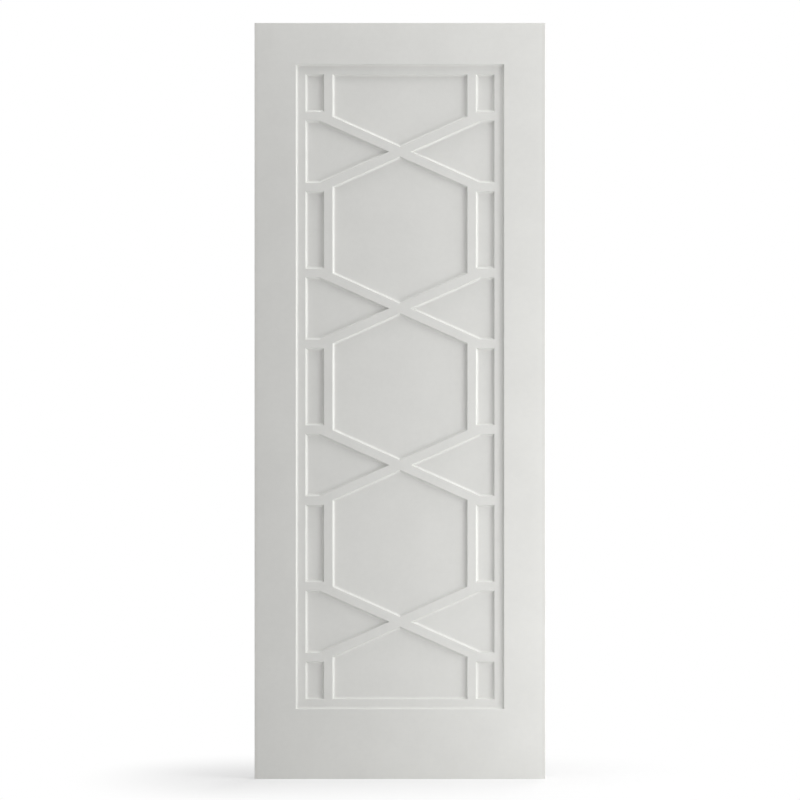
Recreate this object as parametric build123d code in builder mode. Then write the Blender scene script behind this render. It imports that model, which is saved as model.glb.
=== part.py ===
import os
from math import atan2, cos, degrees, radians, sin, sqrt

from build123d import *

os.makedirs("parts", exist_ok=True)

# Interior door leaf with a geometric lattice planted on both faces of one long panel.
# Millimetres. Seen from the front, x runs from the hinge edge to the lock edge, y from the
# front to the back and z up. The origin is on the hinge edge, at the foot of the leaf.

# Overall size of the leaf.
leaf_width = 762.0
leaf_height = 1981.0
leaf_thickness = 35.0

# Stiles and rails, from the outer edge of the leaf to the arris round the opening.
stile_width = 108.0
top_rail_width = 108.0
bottom_rail_width = 183.0
lipping_thickness = 8.0
edge_radius = 1.5

# Groove in the inner edge of the stiles and rails, and the panel that sits in it.
groove_depth = 12.0
panel_thickness = 7.0
panel_play = 2.0
tenon_play = 0.5

# Lattice moulding: flat on top, with a cove down to a thin foot on each side.
lattice_height = 7.0
bar_width = 37.0
border_width = 25.5
cove_radius = 6.5
arris_chamfer = 1.0

# Lattice layout: crossed braces between two rows of uprights, that stand off the border by the
# clear length of the spacers. The end uprights reach from the border to the nearest joint. The
# axis of a brace runs past the axis of its upright, and meets that of the spacer beyond it.
crossings = 4
brace_rise = 186.0
brace_reach = 20.0
spacer_gap = 34.0
end_upright_length = 103.0

# Places that follow from the sizes above.
half_thickness = leaf_thickness / 2
panel_face = panel_thickness / 2
lattice_face = panel_face + lattice_height
sticking_radius = half_thickness - lattice_face
half_bar = bar_width / 2
half_flat = half_bar - cove_radius
half_within_arris = half_flat - arris_chamfer
lap_height = lattice_height / 2
half_bar_at_lap = half_bar - sqrt(cove_radius**2 - (lattice_height - lap_height) ** 2)
opening_left = stile_width + sticking_radius
opening_right = leaf_width - opening_left
opening_bottom = bottom_rail_width + sticking_radius
opening_top = leaf_height - top_rail_width - sticking_radius
groove_bottom_x = opening_left - groove_depth


def export(piece, name):
    """Label a finished piece and write it as its own file."""
    piece.label = name
    export_step(piece, f"parts/{name}.step")


def member_section(outer, arris):
    """Section of a stile or rail, from its outer edge to its coved and grooved inner edge."""
    inner = arris + sticking_radius
    with BuildSketch() as section:
        with Locations(((outer + inner) / 2, 0)):
            Rectangle(inner - outer, leaf_thickness)
        with Locations((inner, -half_thickness), (inner, half_thickness)):
            Circle(sticking_radius, mode=Mode.SUBTRACT)
        with Locations((inner - groove_depth / 2, 0)):
            Rectangle(groove_depth, panel_thickness, mode=Mode.SUBTRACT)
    return section.sketch


# The foot of each long edge of the leaf, with x inwards from the edge.
long_edges = {
    "hinge": Plane(origin=(0, 0, 0), x_dir=(1, 0, 0), z_dir=(0, 0, 1)),
    "lock": Plane(origin=(leaf_width, 0, 0), x_dir=(-1, 0, 0), z_dir=(0, 0, 1)),
}

# Stiles run the full height of the leaf.
stiles = []
for edge, foot in long_edges.items():
    with BuildPart() as stile:
        with BuildSketch(foot):
            add(member_section(lipping_thickness, stile_width))
        extrude(amount=leaf_height)
    export(stile.part, f"{edge}_stile")
    stiles.append(stile.part)

# Rails fit between the stiles. Their ends are scribed over the cove of the stiles, and a stub
# tenon enters the groove of each stile.
tenon_end = groove_bottom_x + tenon_play
rail_places = {
    "bottom_rail": (bottom_rail_width, (tenon_end, 0, 0), (0, 0, 1)),
    "top_rail": (top_rail_width, (tenon_end, 0, leaf_height), (0, 0, -1)),
}
for name, (rail_width, outer_corner, inwards) in rail_places.items():
    with BuildPart() as rail:
        with BuildSketch(Plane(origin=outer_corner, x_dir=inwards, z_dir=(1, 0, 0))):
            add(member_section(0, rail_width))
        extrude(amount=leaf_width - 2 * tenon_end)
        add(stiles, mode=Mode.SUBTRACT)
    export(rail.part, name)

# Solid lippings on the two long edges, with eased corners.
for edge, foot in long_edges.items():
    with BuildPart() as lipping:
        with BuildSketch(foot):
            Rectangle(lipping_thickness, leaf_thickness, align=(Align.MIN, Align.CENTER))
            fillet(vertices().group_by(Axis.X)[0], radius=edge_radius)
        extrude(amount=leaf_height)
    export(lipping.part, f"{edge}_edge_lipping")

# One long panel sits in the grooves.
with BuildPart() as centre_panel:
    with BuildSketch(Plane.XZ):
        with Locations((leaf_width / 2, (opening_bottom + opening_top) / 2)):
            Rectangle(
                leaf_width - 2 * (groove_bottom_x + panel_play),
                opening_top - opening_bottom + 2 * (groove_depth - panel_play),
            )
    extrude(amount=panel_face, both=True)
export(centre_panel.part, "centre_panel")

# The lattice is laid out on the front face of the panel, with x as on the leaf and y up.
front_of_panel = Plane.XZ.offset(panel_face)
border_left = opening_left + border_width
border_right = opening_right - border_width
border_bottom = opening_bottom + border_width
border_top = opening_top - border_width
upright_left = border_left + spacer_gap + half_bar
upright_right = border_right - spacer_gap - half_bar
joints_bottom = border_bottom + end_upright_length
joints_top = border_top - end_upright_length
crossing_pitch = (joints_top - joints_bottom - brace_rise) / (crossings - 1)
crossing_heights = [
    joints_bottom + brace_rise / 2 + number * crossing_pitch for number in range(crossings)
]
leftwards = Vector(-1, 0)
rightwards = Vector(1, 0)
upwards = Vector(0, 1)
downwards = Vector(0, -1)
brace_run = upright_right - upright_left + 2 * brace_reach
rising = Vector(brace_run, brace_rise).normalized()
falling = Vector(brace_run, -brace_rise).normalized()


class Side:
    """One row of uprights: where it stands, its border, and the braces at its joints."""

    def __init__(self, x, outwards, border_x, brace_below, brace_above):
        self.x = x
        self.outwards = outwards
        self.border_x = border_x
        self.braces = {"lower": brace_below, "upper": brace_above}

    def joint(self, crossing_z, level):
        """The bars of a joint: a point on the axis of each, and the way in which it leaves."""
        if level == "lower":
            place = Vector(self.x, crossing_z - brace_rise / 2)
            upright_way = downwards
        else:
            place = Vector(self.x, crossing_z + brace_rise / 2)
            upright_way = upwards
        return {
            "spacer": (place, self.outwards),
            "upright": (place, upright_way),
            "brace": (place + self.outwards * brace_reach, self.braces[level]),
        }


hinge_side = Side(upright_left, leftwards, border_left, rising, falling)
lock_side = Side(upright_right, rightwards, border_right, -falling, -rising)


# Section of a lattice bar that stands on the panel, with a cove on both sides.
with BuildSketch() as bar_section:
    Rectangle(bar_width, lattice_height, align=(Align.CENTER, Align.MIN))
    with Locations((-half_bar, lattice_height), (half_bar, lattice_height)):
        Circle(cove_radius, mode=Mode.SUBTRACT)
    chamfer(vertices().group_by(Axis.Y)[-1], length=arris_chamfer)

# Section of a border bar: a plain outer edge, and a cove on the inner side.
with BuildSketch() as border_section:
    Rectangle(border_width, lattice_height, align=(Align.MIN, Align.MIN))
    with Locations((border_width, lattice_height)):
        Circle(cove_radius, mode=Mode.SUBTRACT)
    chamfer(vertices().group_by(Axis.Y)[-1].sort_by(Axis.X)[-1], length=arris_chamfer)


def moulded_bar(section, start, end, outline, notches=()):
    """A bar of one section along a line on the panel, cut to its outline seen from the front."""
    way = (end - start).normalized()
    run_past = bar_width
    with BuildPart() as bar:
        section_plane = Plane(
            origin=front_of_panel.from_local_coords(start - way * run_past),
            x_dir=(-way.Y, 0, way.X),
            z_dir=(way.X, 0, way.Y),
        )
        with BuildSketch(section_plane):
            add(section.sketch)
        extrude(amount=(end - start).length + 2 * run_past)
        with BuildSketch(front_of_panel):
            with BuildLine():
                Polyline(*outline, close=True)
            make_face()
            for notch in notches:
                with BuildLine():
                    Polyline(*notch, close=True)
                make_face(mode=Mode.SUBTRACT)
        extrude(amount=run_past, both=True, mode=Mode.INTERSECT)
    return bar.part


def turn(from_way, to_way):
    """Anticlockwise angle from one direction to another, in degrees from 0 to 360."""
    sine = from_way.X * to_way.Y - from_way.Y * to_way.X
    cosine = from_way.X * to_way.X + from_way.Y * to_way.Y
    return degrees(atan2(sine, cosine)) % 360


def corner(bar, next_bar, half_width):
    """Where the left edge of a bar meets the right edge of the next bar on its left."""
    (place, way), (next_place, next_way) = bar, next_bar
    left = Vector(-way.Y, way.X)
    next_left = Vector(-next_way.Y, next_way.X)
    start = place + left * half_width
    to_next = next_place - next_left * half_width - start
    return start + way * (to_next.cross(next_way).Z / way.cross(next_way).Z)


def mitred_end(joint, kind):
    """End of one bar of a joint in a three-way mitre, from its left edge to its right edge."""
    bar = joint[kind]
    others = [other for name, other in joint.items() if name != kind]
    left_bar, right_bar = sorted(others, key=lambda other: turn(bar[1], other[1]))
    centre = joint["upright"][0]
    return [
        corner(bar, left_bar, half_bar),
        corner(bar, left_bar, half_within_arris),
        centre,
        corner(right_bar, bar, half_within_arris),
        corner(right_bar, bar, half_bar),
    ]


def scribed_end(foot, bar_way):
    """End of a bar at a border: mitred over the border's cove, square against its flat."""
    left = Vector(-bar_way.Y, bar_way.X)
    square_end = foot - bar_way * (half_bar - half_within_arris)
    return [
        foot + left * half_bar,
        square_end + left * half_within_arris,
        square_end - left * half_within_arris,
        foot - left * half_bar,
    ]


def brace(start_joint, end_joint):
    """A brace from one joint to another, whole, before its crossing is lapped."""
    start, end = start_joint["brace"][0], end_joint["brace"][0]
    outline = mitred_end(start_joint, "brace") + mitred_end(end_joint, "brace")
    return moulded_bar(bar_section, start, end, outline)


def spacer(side, joint):
    """A short bar from a joint out to the side border."""
    place = joint["spacer"][0]
    foot = Vector(side.border_x, place.Y)
    outline = mitred_end(joint, "spacer") + scribed_end(foot, -side.outwards)
    return moulded_bar(bar_section, place, foot, outline)


def upright(side, joint_below, joint_above):
    """An upright between two joints. A missing joint stands for the border at that end."""
    if joint_below:
        start = joint_below["upright"][0]
        start_outline = mitred_end(joint_below, "upright")
    else:
        start = Vector(side.x, border_bottom)
        start_outline = scribed_end(start, upwards)
    if joint_above:
        end = joint_above["upright"][0]
        end_outline = mitred_end(joint_above, "upright")
    else:
        end = Vector(side.x, border_top)
        end_outline = scribed_end(end, downwards)
    return moulded_bar(bar_section, start, end, start_outline + end_outline)


def through_outline(centre, to_side, to_top, flat_half):
    """Where the brace that runs through a crossing shows: its level strip, and the two sectors
    of the crossing in which it lies nearer than the other brace."""
    share = flat_half / half_bar
    return [
        centre - to_side,
        centre + to_top,
        centre + to_top * share,
        centre + to_side * share,
        centre + to_side,
        centre - to_top,
        centre - to_top * share,
        centre - to_side * share,
    ]


def cut_crossing(brace_part, plane, depth, outline, within=None):
    """Cut one layer of a crossing from a brace: the outline, or what lies outside it."""
    with BuildPart() as cut_brace:
        add(brace_part)
        with BuildSketch(plane):
            with BuildLine():
                Polyline(*(within or outline), close=True)
            make_face()
            if within:
                with BuildLine():
                    Polyline(*outline, close=True)
                make_face(mode=Mode.SUBTRACT)
        extrude(amount=depth, mode=Mode.SUBTRACT)
    return cut_brace.part


def half_lapped(whole_rising, whole_falling, centre):
    """The two braces of a crossing: the falling one runs through above the lap, the rising one
    below it, and each is scribed to the other's coves."""
    slope = radians(rising.get_angle(rightwards))
    to_side = Vector(half_bar / sin(slope), 0)
    to_top = Vector(0, half_bar / cos(slope))
    corners = [centre + to_side, centre + to_top, centre - to_side, centre - to_top]
    lap_plane = front_of_panel.offset(lap_height)
    above = through_outline(centre, to_side, to_top, half_within_arris)
    below = through_outline(centre, to_side, -to_top, half_bar_at_lap)
    lapped_rising = cut_crossing(whole_rising, lap_plane, lattice_height, above)
    lapped_rising = cut_crossing(lapped_rising, lap_plane, -lattice_height, below, corners)
    lapped_falling = cut_crossing(whole_falling, lap_plane, lattice_height, above, corners)
    lapped_falling = cut_crossing(lapped_falling, lap_plane, -lattice_height, below)
    return lapped_rising, lapped_falling


# All pieces of one face of the lattice, by name, made for the front.
lattice = {}

# Borders run round the opening with the inner side on their left, and meet in mitres.
outer_corners = [
    Vector(opening_left, opening_bottom),
    Vector(opening_right, opening_bottom),
    Vector(opening_right, opening_top),
    Vector(opening_left, opening_top),
]
inner_corners = [
    Vector(border_left, border_bottom),
    Vector(border_right, border_bottom),
    Vector(border_right, border_top),
    Vector(border_left, border_top),
]
joint_heights = [z + step * brace_rise / 2 for z in crossing_heights for step in (-1, 1)]
border_notches = {
    "border_bottom": [scribed_end(Vector(s.x, border_bottom), upwards) for s in (hinge_side, lock_side)],
    "border_lock_side": [scribed_end(Vector(border_right, z), leftwards) for z in joint_heights],
    "border_top": [scribed_end(Vector(s.x, border_top), downwards) for s in (hinge_side, lock_side)],
    "border_hinge_side": [scribed_end(Vector(border_left, z), rightwards) for z in joint_heights],
}
for number, (name, notches) in enumerate(border_notches.items()):
    following = (number + 1) % len(outer_corners)
    start, end = outer_corners[number], outer_corners[following]
    outline = [start, end, inner_corners[following], inner_corners[number]]
    lattice[name] = moulded_bar(border_section, start, end, outline, notches)

# Crossed braces, numbered from the foot of the leaf.
for number, height in enumerate(crossing_heights, start=1):
    whole_rising = brace(hinge_side.joint(height, "lower"), lock_side.joint(height, "upper"))
    whole_falling = brace(hinge_side.joint(height, "upper"), lock_side.joint(height, "lower"))
    centre = Vector(leaf_width / 2, height)
    lapped_rising, lapped_falling = half_lapped(whole_rising, whole_falling, centre)
    lattice[f"rising_brace_{number}"] = lapped_rising
    lattice[f"falling_brace_{number}"] = lapped_falling

# Uprights and spacers of each side.
for side_name, side in (("hinge_side", hinge_side), ("lock_side", lock_side)):
    lower_joints = [side.joint(height, "lower") for height in crossing_heights] + [None]
    upper_joints = [None] + [side.joint(height, "upper") for height in crossing_heights]
    with BuildPart() as uprights:
        for joint_below, joint_above in zip(upper_joints, lower_joints):
            add(upright(side, joint_below, joint_above))
    lattice[f"{side_name}_uprights"] = uprights.part
    with BuildPart() as spacers:
        for joint in lower_joints[:-1] + upper_joints[1:]:
            add(spacer(side, joint))
    lattice[f"{side_name}_spacers"] = spacers.part

# The back of the leaf repeats the front, as its mirror image about the middle of the leaf.
for name, piece in lattice.items():
    export(piece, f"front_{name}")
    export(mirror(piece, about=Plane.XZ), f"back_{name}")
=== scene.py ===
"""A primed interior door leaf with a planted lattice, dressed and lit as in a studio."""
from math import cos, radians, sin

import bpy
from bpy.props import FloatProperty, FloatVectorProperty, PointerProperty
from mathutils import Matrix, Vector


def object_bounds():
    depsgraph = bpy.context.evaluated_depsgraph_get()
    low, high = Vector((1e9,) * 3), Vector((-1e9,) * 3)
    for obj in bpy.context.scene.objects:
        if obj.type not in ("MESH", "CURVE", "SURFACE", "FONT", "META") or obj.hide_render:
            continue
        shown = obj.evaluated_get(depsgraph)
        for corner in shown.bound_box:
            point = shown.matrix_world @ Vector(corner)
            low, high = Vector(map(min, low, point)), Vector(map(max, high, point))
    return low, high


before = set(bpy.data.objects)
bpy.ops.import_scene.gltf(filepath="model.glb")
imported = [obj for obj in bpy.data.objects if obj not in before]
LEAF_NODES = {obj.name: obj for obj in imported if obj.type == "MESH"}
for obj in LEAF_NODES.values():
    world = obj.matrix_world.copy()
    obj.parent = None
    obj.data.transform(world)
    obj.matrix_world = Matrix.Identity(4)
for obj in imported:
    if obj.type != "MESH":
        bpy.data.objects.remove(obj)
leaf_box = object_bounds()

bl_info = {
    "name": "Lattice Door Leaf",
    "version": (1, 0, 0),
    "blender": (4, 5, 0),
    "location": "View3D > Sidebar > Door Leaf",
    "description": "Finishes a primed door leaf and sets up its studio",
    "category": "Object",
}

# The leaf, in metres, as the frame gives it.
LEAF_LOW, LEAF_HIGH = leaf_box
LEAF_CENTRE = (LEAF_LOW + LEAF_HIGH) / 2
FACE_CENTRE = Vector((LEAF_CENTRE.x, LEAF_LOW.y, LEAF_CENTRE.z))

# The picture is 800 pixels square, and the leaf's middle stands one pixel below its centre. The
# camera's sensor is as wide as this in millimetres.
PICTURE_PIXELS = 800
LEAF_PIXELS_HIGH = 756
LEAF_CENTRE_BELOW = 1
SENSOR_WIDTH = 36.0

# Patterns in the primer: the size of their cells in metres.
MOTTLE_CELL = 0.11
SPECKLE_CELL = 0.012
STIPPLE_CELL = 0.0011
WAVE_CELL = 0.018
FIBRE_CELL = 0.0016
NIB_CELL = 0.02
SHEEN_CELL = 0.035

# Raised fibres of the timber show through the film. They run on along the grain.
FIBRE_STRETCH = {"x": (0.02, 1.0, 1.0), "z": (1.0, 1.0, 0.02)}
FIBRE_HEIGHT = 0.00002
FIBRE_SHADE = 0.95
FIBRE_SHARE = 0.35

# Nibs are specks of dust caught in the film, with their radius as a share of their cell.
NIB_CORE = 0.012
NIB_FOOT = 0.03
NIB_HEIGHT = 0.00004

# The mottle shifts the tone between these two shades, and the sheen varies by this much.
DARK_SHADE = 0.975
LIGHT_SHADE = 1.018
SHEEN_RANGE = 0.16

# Floor: a matt pale disc. Its shadow shows at half strength beside the leaf.
FLOOR_COLOUR = (0.8, 0.8, 0.8, 1)
FLOOR_CORNERS = 96
SHADOW_SHARE = 0.5

# Sockets of a Mix node that mixes colours.
MIX_SHARE = 0
MIX_FIRST = 6
MIX_SECOND = 7
MIX_COLOUR = 2


class LeafFinishSettings(bpy.types.PropertyGroup):
    """Colours and film of the primer."""

    primer_colour: FloatVectorProperty(
        name="Primer Colour", description="Colour of the primer", subtype="COLOR", size=3,
        min=0, max=1, default=(0.767, 0.766, 0.741),
    )
    # The edge colour is the primer made a little darker. This is painted shade that holds down the raking
    # key lamp's glare on the lock edge.
    edge_painted_shade_colour: FloatVectorProperty(
        name="Edge Colour", description="Colour of the thinner primer on the edges", subtype="COLOR", size=3,
        min=0, max=1, default=(0.748, 0.744, 0.716),
    )
    primer_roughness: FloatProperty(
        name="Primer Roughness", description="How matt the primer is", subtype="FACTOR", min=0, max=1,
        default=0.52,
    )
    stipple_depth: FloatProperty(
        name="Stipple Depth", description="Height of the stipple that the roller leaves", unit="LENGTH",
        default=0.000035, precision=6,
    )
    film_wave: FloatProperty(
        name="Film Wave", description="Height of the slow waves in the sprayed film", unit="LENGTH",
        default=0.00006, precision=6,
    )


class StudioSettings(bpy.types.PropertyGroup):
    """Camera, lamps and floor."""

    camera_distance: FloatProperty(
        name="Camera Distance", description="From the front face of the leaf", unit="LENGTH", default=7.0
    )
    key_power: FloatProperty(
        name="Key Lamp", description="Power of the raking lamp beside the lock edge", unit="POWER",
        default=32.4,
    )
    near_power: FloatProperty(
        name="Near Lamp", description="Power of the lamp close before the lock edge", unit="POWER",
        default=5.3,
    )
    front_power: FloatProperty(
        name="Front Lamp", description="Power of the lamp straight before the leaf", unit="POWER",
        default=10.6,
    )
    low_power: FloatProperty(
        name="Low Lamp", description="Power of the small lamp near the foot of the lock edge", unit="POWER",
        default=2.5,
    )
    high_power: FloatProperty(
        name="High Lamp", description="Power of the lamp high before the leaf", unit="POWER",
        default=9.6,
    )
    top_power: FloatProperty(
        name="Top Lamp", description="Power of the raking lamp above the top edge", unit="POWER",
        default=15.6,
    )
    back_power: FloatProperty(
        name="Back Lamp", description="Power of the lamp behind the leaf", unit="POWER", default=32.0
    )
    ambient: FloatProperty(
        name="Ambient", description="Strength of the light from all round", min=0, default=0.260
    )
    floor_radius: FloatProperty(
        name="Floor Radius", description="Radius of the round floor", unit="LENGTH", default=3.0
    )
    shadow_reach: FloatProperty(
        name="Shadow Reach", description="Distance from the leaf at which the floor has faded to white",
        unit="LENGTH", default=0.5,
    )


class Value:
    """A number in a shader, which ordinary expressions turn into Math nodes."""

    def __init__(self, paint, socket):
        self.paint = paint
        self.socket = socket

    def _math(self, operation, *others):
        return self.paint.node("ShaderNodeMath", {"operation": operation}, self, *others)

    def __add__(self, other):
        return self._math("ADD", other)

    def __radd__(self, other):
        return self._math("ADD", other)

    def __sub__(self, other):
        return self._math("SUBTRACT", other)

    def __rsub__(self, other):
        return self.paint.node("ShaderNodeMath", {"operation": "SUBTRACT"}, other, self)

    def __mul__(self, other):
        return self._math("MULTIPLY", other)

    def __rmul__(self, other):
        return self._math("MULTIPLY", other)

    def __abs__(self):
        return self._math("ABSOLUTE")

    def root(self):
        return self._math("SQRT")

    def at_least(self, low):
        """The number, or low where it is smaller."""
        return self._math("MAXIMUM", low)

    def above(self, low, high):
        """0 below low, 1 above high, and a smooth step between."""
        settings = {"interpolation_type": "SMOOTHSTEP"}
        return self.paint.node("ShaderNodeMapRange", settings, self, low, high, 0.0, 1.0)


class Paint:
    """One material under construction."""

    def __init__(self, name):
        self.material = bpy.data.materials.new(name)
        self.material.use_nodes = True
        self.tree = self.material.node_tree
        self.shader = self.tree.nodes["Principled BSDF"]
        coordinates = self.tree.nodes.new("ShaderNodeTexCoord")
        self.place = Value(self, coordinates.outputs["Object"])

    def node(self, kind, settings, *inputs, **named):
        """Add a node: its settings first, then the values or links of its sockets."""
        made = self.tree.nodes.new(kind)
        for key, setting in settings.items():
            setattr(made, key, setting)
        pairs = list(zip(made.inputs, inputs)) + [
            (made.inputs[key.replace("_", " ")], value) for key, value in named.items()
        ]
        for socket, value in pairs:
            if isinstance(value, Value):
                self.tree.links.new(value.socket, socket)
            elif value is not None:
                socket.default_value = value
        return Value(self, made.outputs[0])

    def axes(self):
        """The three coordinates of the place, in metres."""
        split = self.tree.nodes.new("ShaderNodeSeparateXYZ")
        self.tree.links.new(self.place.socket, split.inputs[0])
        return [Value(self, output) for output in split.outputs]

    def stretched(self, factors):
        """The place with each axis scaled, for a pattern that runs along one of them."""
        return self.node("ShaderNodeVectorMath", {"operation": "MULTIPLY"}, self.place, factors)

    def noise(self, cell, place=None, detail=2.0):
        """Noise about zero, from -0.5 to 0.5, with cells of a size in metres."""
        where = place or self.place
        return self.node("ShaderNodeTexNoise", {}, Vector=where, Scale=1.0 / cell, Detail=detail) - 0.5

    def mix(self, share, first, second):
        """A colour between two colours."""
        made = self.tree.nodes.new("ShaderNodeMix")
        made.data_type = "RGBA"
        self.tree.links.new(share.socket, made.inputs[MIX_SHARE])
        for index, colour in ((MIX_FIRST, first), (MIX_SECOND, second)):
            if isinstance(colour, Value):
                self.tree.links.new(colour.socket, made.inputs[index])
            else:
                made.inputs[index].default_value = (*colour, 1.0)
        return Value(self, made.outputs[MIX_COLOUR])

    def finish(self, colour, roughness, height):
        """Join the finished colour, roughness and height, in metres, to the shader."""
        bump = self.node("ShaderNodeBump", {}, Strength=1.0, Distance=1.0, Height=height)
        for name, value in (("Base Color", colour), ("Roughness", roughness), ("Normal", bump)):
            self.tree.links.new(value.socket, self.shader.inputs[name])
        return self.material


def shade(colour, factor):
    """A colour made lighter or darker by a factor."""
    return tuple(min(channel * factor, 1.0) for channel in colour)


def primer(name, settings, colour, grain_axis=None):
    """Primer over board. grain_axis is the axis along which the timber below it runs."""
    paint = Paint(name)
    mottle = paint.noise(MOTTLE_CELL, detail=3.0) + paint.noise(SPECKLE_CELL) * 0.5
    tone = (mottle + 0.5).above(0.1, 0.9)
    painted = paint.mix(tone, shade(colour, DARK_SHADE), shade(colour, LIGHT_SHADE))
    stipple = paint.noise(STIPPLE_CELL, detail=3.0)
    wave = paint.noise(WAVE_CELL, detail=1.0)
    height = stipple * settings.stipple_depth + wave * settings.film_wave
    if grain_axis:
        along_grain = paint.stretched(FIBRE_STRETCH[grain_axis])
        fibres = paint.noise(FIBRE_CELL, place=along_grain, detail=4.0)
        height = height + fibres * FIBRE_HEIGHT
        raised = (fibres + 0.5).above(0.56, 0.8)
        painted = paint.mix(raised * FIBRE_SHARE, painted, shade(colour, FIBRE_SHADE))
    nib = paint.node("ShaderNodeTexVoronoi", {}, Vector=paint.place, Scale=1 / NIB_CELL)
    height = height + (1 - nib.above(NIB_CORE, NIB_FOOT)) * NIB_HEIGHT
    roughness = paint.noise(SHEEN_CELL) * SHEEN_RANGE + settings.primer_roughness
    return paint.finish(painted, roughness, height)


def dress(nodes, material):
    """Give CAD nodes a material."""
    for name in nodes:
        for slot in LEAF_NODES[name].material_slots:
            slot.material = material


def lattice_nodes():
    """The nodes of the lattice, on both faces."""
    return [name for name in LEAF_NODES if name.startswith(("front_", "back_"))]


class DOORLEAF_OT_finish_stiles(bpy.types.Operator):
    """Prime the two stiles"""

    bl_idname = "doorleaf.finish_stiles"
    bl_label = "Finish Stiles"

    def execute(self, context):
        settings = context.scene.leaf_finish
        dress(["hinge_stile", "lock_stile"], primer("primed stile", settings, settings.primer_colour, "z"))
        return {"FINISHED"}


class DOORLEAF_OT_finish_rails(bpy.types.Operator):
    """Prime the two rails"""

    bl_idname = "doorleaf.finish_rails"
    bl_label = "Finish Rails"

    def execute(self, context):
        settings = context.scene.leaf_finish
        dress(["top_rail", "bottom_rail"], primer("primed rail", settings, settings.primer_colour, "x"))
        return {"FINISHED"}


class DOORLEAF_OT_finish_panel(bpy.types.Operator):
    """Prime the long panel"""

    bl_idname = "doorleaf.finish_panel"
    bl_label = "Finish Panel"

    def execute(self, context):
        settings = context.scene.leaf_finish
        dress(["centre_panel"], primer("primed panel", settings, settings.primer_colour))
        return {"FINISHED"}


class DOORLEAF_OT_finish_lattice(bpy.types.Operator):
    """Prime the borders, braces, uprights and spacers"""

    bl_idname = "doorleaf.finish_lattice"
    bl_label = "Finish Lattice"

    def execute(self, context):
        settings = context.scene.leaf_finish
        dress(lattice_nodes(), primer("primed moulding", settings, settings.primer_colour))
        return {"FINISHED"}


class DOORLEAF_OT_finish_edges(bpy.types.Operator):
    """Prime the solid lippings on the long edges"""

    bl_idname = "doorleaf.finish_edges"
    bl_label = "Finish Edges"

    def execute(self, context):
        settings = context.scene.leaf_finish
        # The lippings take the darker edge colour, painted shade against the key lamp's glare on the lock
        # edge.
        material = primer("primed lipping", settings, settings.edge_painted_shade_colour, "z")
        dress(["hinge_edge_lipping", "lock_edge_lipping"], material)
        return {"FINISHED"}


def add_lamp(name, power, rise, slant, distance, size):
    """A soft lamp that shines on the middle of the front face and that the camera doesn't see.
    It stands slant degrees off the normal of that face, towards the lock edge, and rise turns
    that lean upwards, to straight above at 90."""
    across = sin(radians(slant)) * cos(radians(rise))
    outwards = cos(radians(slant))
    up = sin(radians(slant)) * sin(radians(rise))
    direction = Vector((across, -outwards, up))
    data = bpy.data.lights.new(name, "AREA")
    data.shape = "RECTANGLE"
    data.size, data.size_y = size
    data.energy = power
    lamp = bpy.data.objects.new(name, data)
    lamp.location = FACE_CENTRE + direction * distance
    lamp.rotation_euler = direction.to_track_quat("Z", "Y").to_euler()
    lamp.visible_camera = False
    bpy.context.scene.collection.objects.link(lamp)


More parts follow.
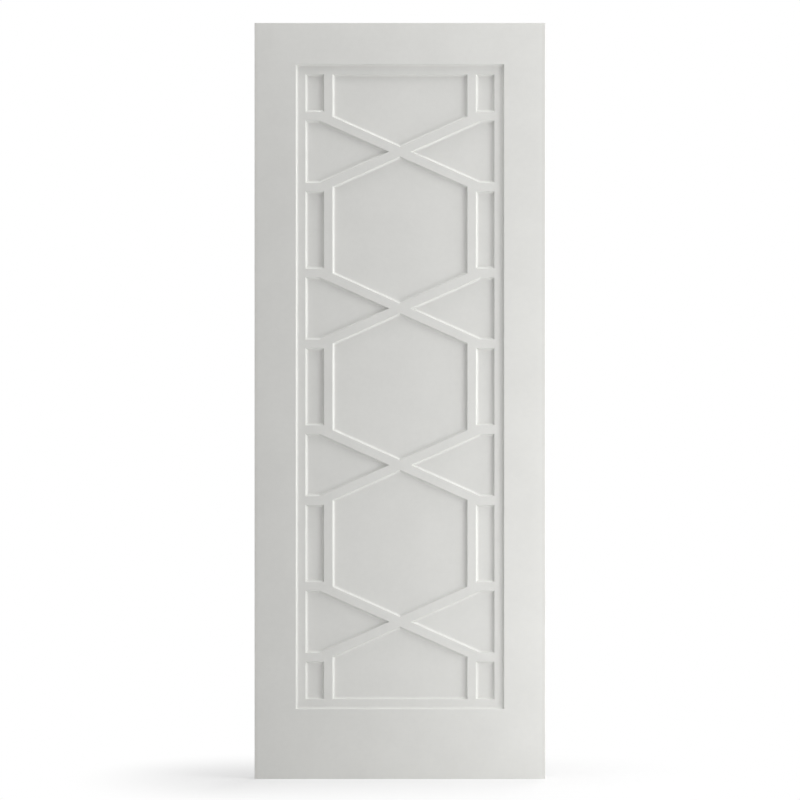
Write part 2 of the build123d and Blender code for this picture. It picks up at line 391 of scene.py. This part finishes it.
class DOORLEAF_OT_build_studio(bpy.types.Operator):
    """Set up the camera, the lamps, the surroundings and the floor"""

    bl_idname = "doorleaf.build_studio"
    bl_label = "Build Studio"

    def execute(self, context):
        settings = context.scene.leaf_studio
        self.add_camera(context, settings)
        self.add_lamps(settings)
        self.add_surroundings(context, settings)
        self.add_floor(settings)
        return {"FINISHED"}

    def add_camera(self, context, settings):
        pixel = (LEAF_HIGH.z - LEAF_LOW.z) / LEAF_PIXELS_HIGH
        data = bpy.data.cameras.new("studio camera")
        data.sensor_width = SENSOR_WIDTH
        data.lens = SENSOR_WIDTH * settings.camera_distance / (pixel * PICTURE_PIXELS)
        camera = bpy.data.objects.new("studio camera", data)
        camera.location = (
            LEAF_CENTRE.x,
            LEAF_LOW.y - settings.camera_distance,
            LEAF_CENTRE.z + LEAF_CENTRE_BELOW * pixel,
        )
        camera.rotation_euler = (radians(90), 0, 0)
        context.scene.collection.objects.link(camera)
        context.scene.camera = camera

    def add_lamps(self, settings):
        add_lamp("key lamp", settings.key_power, rise=20, slant=78, distance=2.2, size=(1.6, 1.6))
        add_lamp("near lamp", settings.near_power, rise=0, slant=65, distance=1.5, size=(1.2, 1.2))
        add_lamp("front lamp", settings.front_power, rise=60, slant=10, distance=3.0, size=(1.6, 1.6))
        add_lamp("low lamp", settings.low_power, rise=-35, slant=60, distance=1.4, size=(0.8, 0.6))
        add_lamp("high lamp", settings.high_power, rise=90, slant=75, distance=2.3, size=(2.0, 1.0))
        add_lamp("top lamp", settings.top_power, rise=90, slant=88, distance=2.3, size=(2.0, 1.0))
        add_lamp("back lamp", settings.back_power, rise=20, slant=148, distance=2.6, size=(1.6, 1.6))

    def add_surroundings(self, context, settings):
        world = bpy.data.worlds.new("studio surroundings")
        world.use_nodes = True
        tree = world.node_tree
        nodes, links = tree.nodes, tree.links
        background = nodes["Background"]
        background.inputs["Color"].default_value = (1, 1, 1, 1)
        rays = nodes.new("ShaderNodeLightPath")
        strength = nodes.new("ShaderNodeMapRange")
        strength.inputs["To Min"].default_value = settings.ambient
        strength.inputs["To Max"].default_value = 1.0
        links.new(rays.outputs["Is Camera Ray"], strength.inputs["Value"])
        links.new(strength.outputs[0], background.inputs["Strength"])
        context.scene.world = world

    def add_floor(self, settings):
        bpy.ops.object.select_all(action="DESELECT")
        middle = (LEAF_CENTRE.x, LEAF_CENTRE.y, LEAF_LOW.z)
        bpy.ops.mesh.primitive_circle_add(
            vertices=FLOOR_CORNERS, radius=settings.floor_radius, fill_type="NGON", location=middle
        )
        floor = bpy.context.object
        floor.name = "studio_floor"
        floor.data.materials.append(self.floor_material(settings))

    def floor_material(self, settings):
        """Pale floor that keeps the shadow near the leaf and fades to white away from it."""
        paint = Paint("pale floor")
        shader = paint.shader
        shader.inputs["Base Color"].default_value = FLOOR_COLOUR
        shader.inputs["Roughness"].default_value = 0.9
        shader.inputs["Specular IOR Level"].default_value = 0.1
        glow = paint.tree.nodes.new("ShaderNodeEmission")
        x, y, _ = paint.axes()
        beside = (abs(x) - (LEAF_HIGH.x - LEAF_LOW.x) / 2).at_least(0.0)
        before = (abs(y) - (LEAF_HIGH.y - LEAF_LOW.y) / 2).at_least(0.0)
        distance = (beside * beside + before * before).root()
        rays = paint.tree.nodes.new("ShaderNodeLightPath")
        camera_ray = Value(paint, rays.outputs["Is Camera Ray"])
        away = distance.above(0.0, settings.shadow_reach)
        share = camera_ray * (away * SHADOW_SHARE + (1 - SHADOW_SHARE))
        mixed = paint.tree.nodes.new("ShaderNodeMixShader")
        output = paint.tree.nodes["Material Output"]
        paint.tree.links.new(share.socket, mixed.inputs[0])
        paint.tree.links.new(shader.outputs[0], mixed.inputs[1])
        paint.tree.links.new(glow.outputs[0], mixed.inputs[2])
        paint.tree.links.new(mixed.outputs[0], output.inputs["Surface"])
        return paint.material


class DOORLEAF_PT_sidebar(bpy.types.Panel):
    """Finishes and studio of the door leaf"""

    bl_label = "Door Leaf"
    bl_idname = "DOORLEAF_PT_sidebar"
    bl_space_type = "VIEW_3D"
    bl_region_type = "UI"
    bl_category = "Door Leaf"

    def draw(self, context):
        for group in (context.scene.leaf_finish, context.scene.leaf_studio):
            for name in group.__annotations__:
                self.layout.prop(group, name)
        for operator in OPERATORS:
            self.layout.operator(operator.bl_idname)


SETTINGS = (LeafFinishSettings, StudioSettings)
OPERATORS = (
    DOORLEAF_OT_finish_stiles,
    DOORLEAF_OT_finish_rails,
    DOORLEAF_OT_finish_panel,
    DOORLEAF_OT_finish_lattice,
    DOORLEAF_OT_finish_edges,
    DOORLEAF_OT_build_studio,
)
CLASSES = (*SETTINGS, *OPERATORS, DOORLEAF_PT_sidebar)


def register():
    for entry in CLASSES:
        bpy.utils.register_class(entry)
    bpy.types.Scene.leaf_finish = PointerProperty(type=LeafFinishSettings)
    bpy.types.Scene.leaf_studio = PointerProperty(type=StudioSettings)


def unregister():
    del bpy.types.Scene.leaf_finish
    del bpy.types.Scene.leaf_studio
    for entry in reversed(CLASSES):
        bpy.utils.unregister_class(entry)


def main():
    register()
    bpy.context.scene.view_settings.view_transform = "Standard"
    bpy.ops.doorleaf.finish_stiles()
    bpy.ops.doorleaf.finish_rails()
    bpy.ops.doorleaf.finish_panel()
    bpy.ops.doorleaf.finish_lattice()
    bpy.ops.doorleaf.finish_edges()
    bpy.ops.doorleaf.build_studio()


if __name__ == "__main__":
    main()
